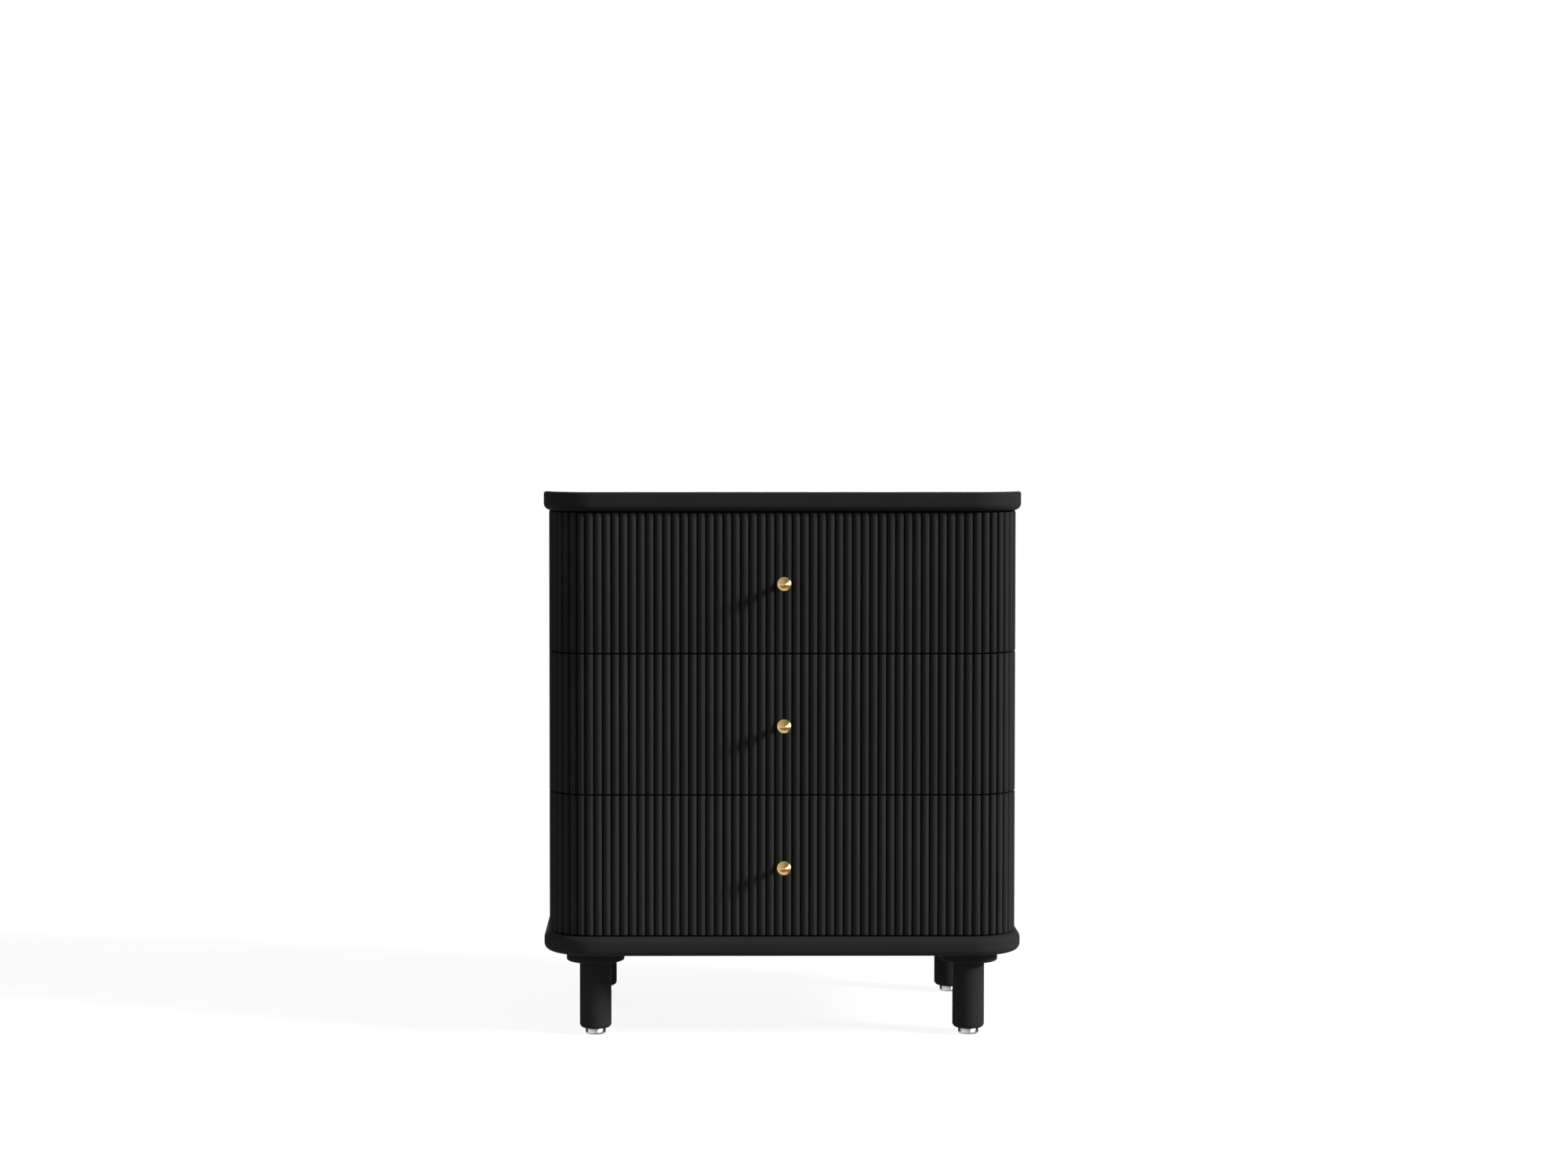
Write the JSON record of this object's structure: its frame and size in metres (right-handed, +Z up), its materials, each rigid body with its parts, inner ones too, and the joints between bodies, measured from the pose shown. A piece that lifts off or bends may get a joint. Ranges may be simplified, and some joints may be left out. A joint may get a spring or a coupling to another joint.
{
  "type": "nightstand with drawers",
  "caption": "Bedside cabinet with a reeded front that wraps round both front corners, stacked drawers on telescopic runners, turned knobs and round legs on levelling feet.",
  "frame": {"origin": "on the floor, under the middle of the object's box", "axes": "+Z up, the drawers open towards -Y, +X to the right of someone facing the front"},
  "size_m": [0.6, 0.4184, 0.686],
  "materials": {
    "black_lacquer": "satin black lacquer on board",
    "back_board": "matt black hardboard",
    "box_wood": "clear lacquered birch board",
    "dowel_wood": "bare beech",
    "zinc_steel": "bright zinc plate",
    "foot_chrome": "polished plate",
    "knob_brass": "polished brass"
  },
  "bodies": {
    "cabinet": {"back_panel": "back_board", "base_panel": "black_lacquer", "cabinet_runner_screws": "zinc_steel", "cam_locks": "zinc_steel", "carcass_dowels": "dowel_wood", "front_rail": "black_lacquer", "left_side_panel": "black_lacquer", "leg_back_left": "black_lacquer", "leg_back_right": "black_lacquer", "leg_bolts": "zinc_steel", "leg_front_left": "black_lacquer", "leg_front_right": "black_lacquer", "leg_inserts": "zinc_steel", "leg_plate_back_left": "black_lacquer", "leg_plate_back_right": "black_lacquer", "leg_plate_front_left": "black_lacquer", "leg_plate_front_right": "black_lacquer", "leg_plate_screws": "zinc_steel", "lower_cabinet_runners": "zinc_steel", "middle_cabinet_runners": "zinc_steel", "right_side_panel": "black_lacquer", "top_panel": "black_lacquer", "upper_cabinet_runners": "zinc_steel"},
    "lower_drawer": {"lower_drawer_box_back": "box_wood", "lower_drawer_box_bottom": "box_wood", "lower_drawer_box_front": "box_wood", "lower_drawer_box_left": "box_wood", "lower_drawer_box_right": "box_wood", "lower_drawer_facing": "black_lacquer", "lower_drawer_fasteners": "zinc_steel", "lower_drawer_front": "black_lacquer", "lower_drawer_knob": "knob_brass", "lower_drawer_runners": "zinc_steel"},
    "lower_intermediate_runners": {"lower_intermediate_runners": "zinc_steel"},
    "middle_drawer": {"middle_drawer_box_back": "box_wood", "middle_drawer_box_bottom": "box_wood", "middle_drawer_box_front": "box_wood", "middle_drawer_box_left": "box_wood", "middle_drawer_box_right": "box_wood", "middle_drawer_facing": "black_lacquer", "middle_drawer_fasteners": "zinc_steel", "middle_drawer_front": "black_lacquer", "middle_drawer_knob": "knob_brass", "middle_drawer_runners": "zinc_steel"},
    "middle_intermediate_runners": {"middle_intermediate_runners": "zinc_steel"},
    "upper_drawer": {"upper_drawer_box_back": "box_wood", "upper_drawer_box_bottom": "box_wood", "upper_drawer_box_front": "box_wood", "upper_drawer_box_left": "box_wood", "upper_drawer_box_right": "box_wood", "upper_drawer_facing": "black_lacquer", "upper_drawer_fasteners": "zinc_steel", "upper_drawer_front": "black_lacquer", "upper_drawer_knob": "knob_brass", "upper_drawer_runners": "zinc_steel"},
    "upper_intermediate_runners": {"upper_intermediate_runners": "zinc_steel"},
    "foot_front_left": {"foot_front_left": "foot_chrome"},
    "foot_front_right": {"foot_front_right": "foot_chrome"},
    "foot_back_left": {"foot_back_left": "foot_chrome"},
    "foot_back_right": {"foot_back_right": "foot_chrome"}
  },
  "joints": [
    {"name": "lower_drawer_slide", "type": "slide", "parent": "cabinet", "child": "lower_drawer", "axis": [0, -1, 0], "range_m": [0, 0.3]},
    {"name": "lower_runner_slide", "type": "slide", "parent": "cabinet", "child": "lower_intermediate_runners", "axis": [0, -1, 0], "range_m": [0, 0.15]},
    {"name": "middle_drawer_slide", "type": "slide", "parent": "cabinet", "child": "middle_drawer", "axis": [0, -1, 0], "range_m": [0, 0.3]},
    {"name": "middle_runner_slide", "type": "slide", "parent": "cabinet", "child": "middle_intermediate_runners", "axis": [0, -1, 0], "range_m": [0, 0.15]},
    {"name": "upper_drawer_slide", "type": "slide", "parent": "cabinet", "child": "upper_drawer", "axis": [0, -1, 0], "range_m": [0, 0.3]},
    {"name": "upper_runner_slide", "type": "slide", "parent": "cabinet", "child": "upper_intermediate_runners", "axis": [0, -1, 0], "range_m": [0, 0.15]},
    {"name": "foot_front_left_screw", "type": "slide", "parent": "cabinet", "child": "foot_front_left", "axis": [0, 0, -1], "range_m": [0, 0.01]},
    {"name": "foot_front_right_screw", "type": "slide", "parent": "cabinet", "child": "foot_front_right", "axis": [0, 0, -1], "range_m": [0, 0.01]},
    {"name": "foot_back_left_screw", "type": "slide", "parent": "cabinet", "child": "foot_back_left", "axis": [0, 0, -1], "range_m": [0, 0.01]},
    {"name": "foot_back_right_screw", "type": "slide", "parent": "cabinet", "child": "foot_back_right", "axis": [0, 0, -1], "range_m": [0, 0.01]}
  ],
  "couplings": [
    {"joint": "lower_runner_slide", "follows": "lower_drawer_slide", "ratio": 0.5},
    {"joint": "middle_runner_slide", "follows": "middle_drawer_slide", "ratio": 0.5},
    {"joint": "upper_runner_slide", "follows": "upper_drawer_slide", "ratio": 0.5}
  ]
}
